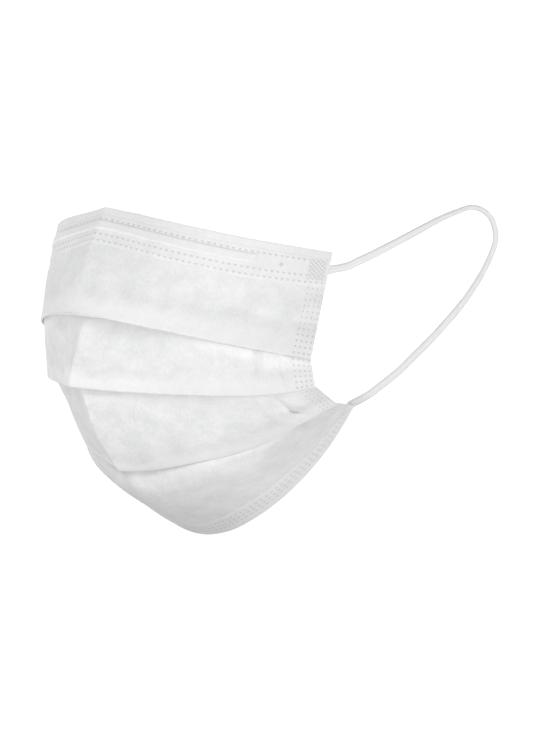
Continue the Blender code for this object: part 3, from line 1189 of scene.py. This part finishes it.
@dataclass
class MaskCloth:
    """The laminate with its pleats and the columns of weld dots down both sides."""

    sheet: FoldedSheet
    thickness: float = 0.4 * MM
    dot_depth: float = 0.16 * MM
    # Painted light above and below each fold, partly the whiter look of the pleat's layers behind,
    # and a painted shade line under each fold beside the side weld
    layers_and_painted_light_above: float = 0.5
    layers_and_painted_light_below: float = 0.3
    painted_shade_line: float = 0.6

    def lattice(self, grid: Grid) -> np.ndarray:
        """Place of each point among the side welds' dots, which are at whole numbers.

        Args:
            grid: the cloth.

        Returns:
            Two numbers for each point.
        """
        first, second = self.sheet.dot_columns[:2]
        from_side = (self.sheet.half - np.abs(grid.across)) / MM
        column = np.clip((from_side - first) / (second - first), -0.5, 3.5)
        row = np.full(len(grid.panel), 0.5)
        for index, panel in enumerate(self.sheet.panels):
            inside = grid.panel == index
            row[inside] = np.clip(grid.share[inside] * panel.dot_rows - 0.5, -0.5, None)
        return np.stack(np.broadcast_arrays(column[:, None], row[None, :]), -1)

    def layers_and_painted_fold_light(self, grid: Grid) -> np.ndarray:
        """Painted light near each fold, as values below 0: partly the whiter look of the pleat's
        layers behind the cloth, and below the fold also light painted into the shade there.

        A painted shade line under each fold, as values above 0, lies beside the side weld, where the
        fold is shut.

        Args:
            grid: the cloth.

        Returns:
            One value for each point.
        """
        walk = grid.walk / MM
        result = np.zeros(walk.shape)
        wide = 1 + 0.5 * ramp(np.abs(grid.across) / self.sheet.half, 0.2, 0.9)[:, None]
        uneven = 1.5 * ripples(grid.across[:, None] / MM / 9, np.zeros((1, 1)), 21)
        side = self.sheet.half / MM - np.abs(grid.across[:, None]) / MM
        beside_weld = 1 - ramp(side, 8.5, 11.0)
        for index, pleat in enumerate(self.sheet.pleats):
            columns = np.flatnonzero(grid.panel == index)
            above = walk[:, columns[-1:]] - walk[:, columns]
            reach = 0.55 * pleat.depth / MM * wide + uneven
            # Painted light above the fold, partly the whiter look of the pleat behind
            before = -self.layers_and_painted_light_above * (1 - ramp(above / reach, 0.45, 1.35))
            kept = result[:, columns]
            result[:, columns] = np.where(kept > 0, kept, np.minimum(kept, before))
            below = np.flatnonzero(grid.panel == index + 1)
            under = walk[:, below] - walk[:, below[:1]]
            # Painted light that lifts the shade under the fold, partly the whiter look of the layers
            # behind
            behind = -self.layers_and_painted_light_below * (1 - ramp(under / reach, 0.3, 0.9))
            # Painted shade line right under the fold beside the side weld, in the pressed film's
            # colour
            shut = self.painted_shade_line * (1 - ramp(under, 0.3, 0.9)) * beside_weld
            result[:, below] = np.where(shut > 0.1, shut, behind)
        return result

    def build(self) -> bpy.types.Object:
        """Make the cloth as one closed sheet.

        Returns:
            The piece.
        """
        grid = self.sheet.grid(self.sheet.stations())
        lattice = self.lattice(grid)
        apart = np.linalg.norm(lattice - np.round(lattice), axis=-1)
        pits = np.exp(-((apart / 0.22) ** 2))
        points = grid.points - grid.normals * (pits * self.dot_depth)[..., None]
        # Its press carries the painted light and the painted shade lines near the folds
        piece = sheet_piece("mask_cloth", grid, points, self.layers_and_painted_fold_light(grid), lattice)
        give_thickness(piece, self.thickness)
        return piece

    def dress(self, piece: bpy.types.Object, finish: bpy.types.Material) -> None:
        """Give the cloth its finish and its place on the frame."""
        put_on_frame(piece, finish, "mask_panel")
        log.info("cloth: %d faces", len(piece.data.polygons))


def sheet_piece(
    name: str, grid: Grid, points: np.ndarray, press: np.ndarray, lattice: np.ndarray | None = None
) -> bpy.types.Object:
    """Make an open sheet from a grid of points.

    Args:
        name: the piece's name.
        grid: the grid that says where each point is on the unrolled cloth.
        points: the points, moved by their relief.
        press: how hard each is pressed, with painted light below 0 and painted shade lines above 0.
        lattice: place of each among the weld dots; without it, all lie between them.

    Returns:
        The object.
    """
    number = np.arange(press.size).reshape(press.shape)
    faces = [number[:-1, :-1], number[:-1, 1:], number[1:, 1:], number[1:, :-1]]
    across = np.broadcast_to(grid.across[:, None], press.shape)
    lattice = np.full((*press.shape, 2), 0.5) if lattice is None else lattice
    return make_piece(
        name,
        points.reshape(-1, 3),
        np.stack(faces, -1).reshape(-1, 4).tolist(),
        np.stack([across, grid.walk], -1).reshape(-1, 2),
        press.ravel(),
        lattice.reshape(-1, 2),
    )


@dataclass(frozen=True)
class WeldPatch:
    """The cross-hatched weld that holds a loop's end, measured from the side and from the edge."""

    from_side: tuple[float, float]
    from_edge: tuple[float, float]
    pitch: tuple[float, float] = (1.9 * MM, 1.6 * MM)
    depth: float = 0.13 * MM
    soft: float = 0.4 * MM

    def press(self, side: np.ndarray, below: np.ndarray) -> tuple[np.ndarray, np.ndarray]:
        """How hard the hatching presses.

        Args:
            side: distance from the side of the cloth.
            below: distance from the edge of the cloth.

        Returns:
            The press of its crossed lines and the patch itself, from 0 to 1 for each point.
        """
        inside = within(side, *self.from_side, self.soft)
        inside = inside * within(below, *self.from_edge, self.soft)
        lines = np.zeros(side.shape)
        for sign in (1, -1):
            phase = side / self.pitch[0] + sign * below / self.pitch[1]
            lines = np.maximum(lines, ramp(np.cos(math.tau * phase / 2) ** 2, 0.6, 0.98))
        return lines, inside


@dataclass
class Hem:
    """A strip folded over an edge of the cloth and held by rows of weld dots."""

    name: str
    node: str
    edge: Edge
    sheet: FoldedSheet
    leg: float
    rows: tuple[float, ...]
    dot_pitch: float
    dot_size: tuple[float, float]
    patch: WeldPatch
    inner_leg: float = 1.2 * MM
    thickness: float = 0.2 * MM
    off: float = 0.33 * MM
    flush: float = 0.22 * MM
    dot_depth: float = 0.11 * MM
    lump: float = 0.14 * MM
    # Strength of the painted highlight on the raised web between the weld dots
    swell: float = 1.0
    channel: tuple[float, float] | None = None
    channel_half: float = 58.5 * MM
    channel_lift: float = 0.42 * MM
    channel_slope: float = 0.3 * MM
    fold_mark: float | None = None
    mark_depth: float = 0.07 * MM
    spot_weld: tuple[float, float] | None = None
    spot_depth: float = 0.14 * MM
    fine: float = 0.26 * MM
    patch_reach: float = 9.8 * MM
    patch_steps: int = 42

    def stations(self) -> np.ndarray:
        """Distances from the centre at which the hem has a row of points.

        Returns:
            Six to each weld dot, and closer ones at the weld patches, in metres.
        """
        half = self.sheet.half
        even = np.arange(0, half - self.patch_reach - 0.2 * MM, self.dot_pitch / 6)
        return np.concatenate([even, np.linspace(half - self.patch_reach, half, self.patch_steps)])

    def section(self) -> tuple[np.ndarray, np.ndarray]:
        """The hem's section as distances below the edge and off the cloth.

        Returns:
            The two distances, from the end of the inner leg to the end of the outer leg.
        """
        inner = np.linspace(self.inner_leg, 0, 4)[:-1]
        angles = np.linspace(0, math.pi, 9)
        outer = np.arange(self.fine, self.leg + self.fine / 2, self.fine)
        below = np.concatenate([inner, -self.off * np.sin(angles), outer])
        pressed = ramp(outer, self.leg - 1.3 * MM, self.leg - 0.3 * MM)
        off = np.concatenate(
            [np.full(len(inner), -self.off), -self.off * np.cos(angles),
             self.off + (self.flush - self.off) * pressed]
        )
        return below, off

    def relief(
        self, across: np.ndarray, below: np.ndarray, outside: np.ndarray
    ) -> tuple[np.ndarray, np.ndarray]:
        """Height and press of the hem's outer leg.

        Args:
            across: signed distance from the centre of each point.
            below: distance from the edge of each point.
            outside: 1 on the outer leg and 0 elsewhere.

        Returns:
            The heights in metres, and the presses from 0 to 1, which also hold painted shade lines
            and, below 0, painted light.
        """
        side = self.sheet.half - np.abs(across)
        press = np.zeros(across.shape)
        height = np.zeros(across.shape)
        for place in self.rows:
            phase = across / self.dot_pitch
            apart = (phase - np.round(phase)) * self.dot_pitch
            between = (phase - 0.5 - np.round(phase - 0.5)) * self.dot_pitch
            down = below - place
            wide, tall = self.dot_size
            dot = 1 - ramp(np.hypot(apart / wide, down / tall), 0.72, 1.15)
            # Painted highlight: the raised web between the dots is whitened, as press below 0
            hill = np.exp(-((between / (0.8 * wide)) ** 2) - (down / (0.9 * tall)) ** 2)
            press = np.maximum(press, dot) - self.swell * hill * (1 - dot)
            height += hill * self.lump * (1 - dot)
        height -= np.maximum(press, 0) * self.dot_depth
        hatch, inside = self.patch.press(side, below)
        # Between the patch's hatched lines the web gets painted light, as press below 0
        press = press * (1 - inside) + (hatch - 0.5 * (1 - hatch)) * inside
        height = height * (1 - inside) - hatch * inside * self.patch.depth
        if self.channel:
            (start, end), slope = self.channel, self.channel_slope
            raised = within(below, start - slope, end + slope, slope + 0.1 * MM)
            raised *= 1 - ramp(np.abs(across), self.channel_half, self.channel_half + 1.6 * MM)
            height += raised * self.channel_lift
            # Painted shade lines along the channel's two edges
            for place in (start - slope, end + slope):
                line = np.exp(-(((below - place) / (0.2 * MM)) ** 2))
                line = line * (np.abs(across) < self.channel_half + MM)
                press = np.maximum(press, 0.35 * line)
            # Painted light along the raised channel, as press below 0
            press = press - 0.6 * raised * (np.abs(press) < 0.3)
        if self.fold_mark:
            line = np.exp(-(((below - self.fold_mark) / (0.22 * MM)) ** 2))
            height -= self.mark_depth * line
            press = np.maximum(press, 0.25 * line)
        if self.spot_weld:
            from_side, from_edge = self.spot_weld
            spot = 1 - ramp(np.hypot(side - from_side, below - from_edge), 0.6 * MM, 0.9 * MM)
            spot = spot * (across > 0)
            press = np.maximum(press, spot)
            height -= self.spot_depth * spot
        return height * outside, press * outside

    def build(self) -> bpy.types.Object:
        """Make the hem as one closed strip.

        Returns:
            The piece.
        """
        cloth = self.sheet.grid(self.stations())
        points, normals, walk = cloth.from_edge(self.edge)
        below, off = self.section()
        surface = read_along(below, walk, points)
        down = unit(points[:, 2] - points[:, 0])
        surface += np.minimum(below, 0)[None, :, None] * down[:, None, :]
        outward = unit(read_along(below, walk, normals))
        across = np.broadcast_to(cloth.across[:, None], surface.shape[:2])
        wide_below = np.broadcast_to(below[None, :], surface.shape[:2])
        outside = (wide_below > 0) & (off[None, :] > 0)
        height, press = self.relief(across, wide_below, outside.astype(float))
        result = surface + outward * (off[None, :] + height)[..., None]
        order = slice(None) if self.edge is Edge.TOP else slice(None, None, -1)
        grid = Grid(cloth.across, result[:, order], np.zeros(len(below)), np.zeros(len(below)))
        piece = sheet_piece(self.name, grid, result[:, order], press[:, order])
        give_thickness(piece, self.thickness)
        return piece

    def dress(self, piece: bpy.types.Object, finish: bpy.types.Material) -> None:
        """Give the hem its finish and its place on the frame."""
        put_on_frame(piece, finish, self.node)
        log.info("%s: %d faces", self.name, len(piece.data.polygons))


@dataclass
class NoseWire:
    """The flat wire in the upper hem, which was bent over the nose."""

    sheet: FoldedSheet
    half_length: float = 57 * MM
    width: float = 2.4 * MM
    thickness: float = 0.26 * MM
    off: float = 0.39 * MM
    drop: float = 6.55 * MM

    def build(self) -> bpy.types.Object:
        """Make the wire as one closed strip.

        Returns:
            The piece.
        """
        cloth = self.sheet.grid(np.linspace(0, self.half_length, 60))
        points, normals, walk = cloth.from_edge(Edge.TOP)
        below = self.drop + np.linspace(-0.5, 0.5, 5) * self.width
        strip = read_along(below, walk, points + normals * self.off)
        grid = Grid(cloth.across, strip, np.zeros(5), np.zeros(5))
        piece = sheet_piece("wire_strip", grid, strip, np.zeros(strip.shape[:2]))
        give_thickness(piece, self.thickness)
        return piece

    def dress(self, piece: bpy.types.Object, finish: bpy.types.Material) -> None:
        """Give the wire its finish and its place on the frame."""
        put_on_frame(piece, finish, "nose_wire")
        log.info("nose wire: %.0f mm long", 2 * self.half_length / MM)


# Studio


@dataclass
class PhotoCamera:
    """The camera, where the photograph was taken from."""

    azimuth: float = 40.97
    elevation: float = 6.31
    distance: float = 771 * MM
    pixels_per_mm: float = 2.83
    picture: tuple[int, int] = (540, 740)
    origin_pixel: tuple[float, float] = (104, 207.5)
    sensor: float = 36.0

    def build(self) -> None:
        """Add the camera and make it the scene's own."""
        back = way(self.azimuth, self.elevation)
        right = way(self.azimuth + 90, 0)
        up = back.cross(right)
        scale = MM / self.pixels_per_mm
        x = (self.picture[0] / 2 - self.origin_pixel[0]) * scale
        y = (self.picture[1] / 2 - self.origin_pixel[1]) * scale
        place = back * self.distance + right * x - up * y
        data = bpy.data.cameras.new("photo_camera")
        focal_pixels = self.pixels_per_mm / MM * self.distance
        data.sensor_width = self.sensor
        data.lens = focal_pixels * self.sensor / self.picture[1]
        data.clip_start, data.clip_end = 0.05, 100
        camera = bpy.data.objects.new("photo_camera", data)
        turn = Matrix((right, up, back)).transposed().to_4x4()
        camera.matrix_world = Matrix.Translation(place) @ turn
        bpy.context.scene.collection.objects.link(camera)
        bpy.context.scene.camera = camera


@dataclass
class Studio:
    """A white floor under bright soft light, with grey cards that keep some of it off the cloth."""

    floor_drop: float = 0.45
    size: float = 60.0
    floor_glow: float = 0.6
    wall_glow: float = 0.6
    surround: float = 0.39
    wall_azimuth: float = 220
    wall_distance: float = 15
    middle: tuple[float, float, float] = (0, 0.03, -0.06)
    key_power: float = 4.4
    key_size: float = 0.8
    key_from: tuple[float, float] = (42, 22)
    card_colour: str = "#808080"
    cards: tuple[tuple[str, float, float, float, float], ...] = (
        ("card_below", 0.5, 0, -90, 0.26),
        ("card_above", 0.4, 0, 90, 0.36),
    )

    def plane(self, name: str, size: float, place: Vector, facing: Vector) -> bpy.types.Object:
        """Add a square sheet.

        Args:
            name: its name.
            size: length of its sides.
            place: its centre.
            facing: the way it faces.

        Returns:
            The object.
        """
        bpy.ops.object.select_all(action="DESELECT")
        turn = facing.to_track_quat("Z", "Y").to_euler()
        bpy.ops.mesh.primitive_plane_add(size=size, location=place, rotation=turn)
        sheet = bpy.context.active_object
        sheet.name = name
        return sheet

    def paint(self, name: str, colour: str, glow: float = 0.0) -> bpy.types.Material:
        """Plain matt paint.

        Args:
            name: its name.
            colour: its sRGB colour.
            glow: light that it gives by itself.

        Returns:
            The material.
        """
        material, _ = new_material(name)
        set_shader(
            material,
            {
                "Base Color": linear(colour),
                "Roughness": 1.0,
                "Specular IOR Level": 0.0,
                "Emission Color": (1, 1, 1, 1),
                "Emission Strength": glow,
            },
        )
        return material

    def build(self) -> None:
        """Add the floor, the backdrop, the cards, the lamp and the surround."""
        floor = self.plane("floor", self.size, Vector((0, 0, -self.floor_drop)), Vector((0, 0, 1)))
        floor.data.materials.append(self.paint("white_paper", "#FAFAFA", self.floor_glow))
        beyond = way(self.wall_azimuth, 0) * self.wall_distance
        wall = self.plane("backdrop", self.size, beyond, way(self.wall_azimuth - 180, 0))
        wall.data.materials.append(self.paint("lit_paper", "#FAFAFA", self.wall_glow))
        grey = self.paint("grey_card", self.card_colour)
        middle = Vector(self.middle)
        for name, size, azimuth, elevation, apart in self.cards:
            toward = way(azimuth, elevation)
            card = self.plane(name, size, middle + toward * apart, -toward)
            card.data.materials.append(grey)
            card.visible_camera = False
        world = bpy.context.scene.world or bpy.data.worlds.new("surround")
        bpy.context.scene.world = world
        world.use_nodes = True
        background = world.node_tree.nodes["Background"]
        background.inputs["Color"].default_value = (1, 1, 1, 1)
        background.inputs["Strength"].default_value = self.surround
        data = bpy.data.lights.new("key", "AREA")
        data.shape = "DISK"
        data.size = self.key_size
        data.energy = self.key_power
        key = bpy.data.objects.new("key", data)
        toward = way(*self.key_from)
        turn = toward.to_track_quat("Z", "Y").to_matrix().to_4x4()
        key.matrix_world = Matrix.Translation(middle + toward) @ turn
        bpy.context.scene.collection.objects.link(key)
        bpy.context.scene.view_settings.view_transform = "Standard"


def main() -> None:
    """Build the camera, the cords, the cloth, the hems and the studio."""
    logging.basicConfig(level=logging.INFO, format="%(message)s")
    PhotoCamera().build()

    sheet = FoldedSheet(creases=CREASES)
    elastic = KnittedElastic().build()
    for side in Side:
        loop = EarLoop(side, sheet)
        piece = loop.build()
        loop.dress(piece, elastic)

    spunbond = Spunbond().build()
    # The hems' web: a whiter copy of the spunbond, partly for its two plies and partly painted light
    # that brightens the hems
    doubled_and_painted_light = Spunbond(
        "spunbond_doubled_painted_light", "#F8F8F8", "#EEEFEF", "#D6D7D7", "#FFFFFF", let_through=0.3
    ).build()
    cloth = MaskCloth(sheet)
    cloth_piece = cloth.build()
    cloth.dress(cloth_piece, spunbond)

    for hem in (
        Hem(
            "hem_top", "top_hem", Edge.TOP, sheet, 13.7 * MM,
            rows=(4.0 * MM, 10.0 * MM, 12.4 * MM), dot_pitch=2.2 * MM,
            dot_size=(0.52 * MM, 0.42 * MM),
            patch=WeldPatch((1.2 * MM, 8.4 * MM), (3.0 * MM, 11.6 * MM)),
            channel=(5.1 * MM, 8.0 * MM), fold_mark=2.5 * MM, spot_weld=(18.8 * MM, 7.1 * MM),
        ),
        Hem(
            "hem_bottom", "bottom_hem", Edge.BOTTOM, sheet, 9.5 * MM,
            rows=(3.2 * MM, 5.2 * MM, 7.2 * MM), dot_pitch=2.3 * MM,
            dot_size=(0.72 * MM, 0.36 * MM), lump=0.05 * MM, swell=0.4,
            patch=WeldPatch((1.4 * MM, 8.0 * MM), (1.6 * MM, 8.6 * MM)),
        ),
    ):
        piece = hem.build()
        hem.dress(piece, doubled_and_painted_light)

    flat_length = float(sheet.grid(np.array([0.0, 1.0 * MM])).walk[1, -1])

    wire = NoseWire(sheet)
    wire_piece = wire.build()
    wire.dress(wire_piece, CoatedWire().build())

    Studio().build()


CREASES: tuple[Crease, ...] = (
    # Nose panel: one hard crease near the side and a soft fold near the nose
    Crease(0, ((60.5, 0.33), (57.6, 0.53), (58.0, 0.76)), 0.6 * MM, 0.17 * MM),
    Crease(0, ((18.5, 0.5), (19.0, 0.7), (20.0, 0.82)), 2.5 * MM, -0.28 * MM),
    Crease(0, ((8.6, 0.52), (9.0, 0.66)), 0.5 * MM, 0.12 * MM),
    Crease(0, ((24.0, 0.62), (27.0, 0.48), (28.5, 0.4)), 0.5 * MM, 0.12 * MM),
    # Upper panel: puckers that run down from the first pleat beside the side weld
    Crease(1, ((69.0, -0.05), (68.2, 0.3), (67.8, 0.6)), 1.5 * MM, -2.1 * MM, True),
    Crease(1, ((67.9, 0.2), (67.8, 0.95)), 0.8 * MM, -0.35 * MM),
    Crease(1, ((75.3, 0.0), (74.8, 0.4), (75.9, 0.75)), 0.9 * MM, -1.05 * MM, True),
    Crease(1, ((77.2, 0.08), (77.2, 0.5), (78.4, 0.98)), 1.0 * MM, 0.55 * MM),
    Crease(1, ((79.6, -0.05), (79.2, 0.3), (80.0, 0.8)), 0.9 * MM, -1.05 * MM, True),
    # Lower panel: a hollow that curls round a bulge, and a ridge that curls round both
    Crease(2, ((66.4, 0.02), (64.4, 0.42), (65.2, 0.7), (69.0, 0.88)), 1.5 * MM, 0.55 * MM),
    Crease(2, ((71.6, 0.1), (70.8, 0.4), (71.6, 0.66), (74.6, 0.82)), 1.2 * MM, -0.9 * MM),
    Crease(2, ((76.0, 0.25), (75.6, 0.48), (77.4, 0.66)), 2.6 * MM, 0.8 * MM),
    # Chin panel: a dent under the third pleat with soft folds that run down from it
    Crease(3, ((70.2, 0.0), (69.0, 0.08), (67.2, 0.28)), 2.3 * MM, -2.4 * MM, True),
    Crease(3, ((62.0, 0.04), (53.0, 0.14), (47.0, 0.3)), 2.2 * MM, 0.45 * MM),
    Crease(3, ((41.0, 0.03), (42.5, 0.12), (44.0, 0.26)), 2.0 * MM, -0.49 * MM),
    Crease(3, ((52.0, 0.05), (49.0, 0.14), (46.0, 0.2)), 1.6 * MM, -0.49 * MM),
)


if __name__ == "__main__":
    main()
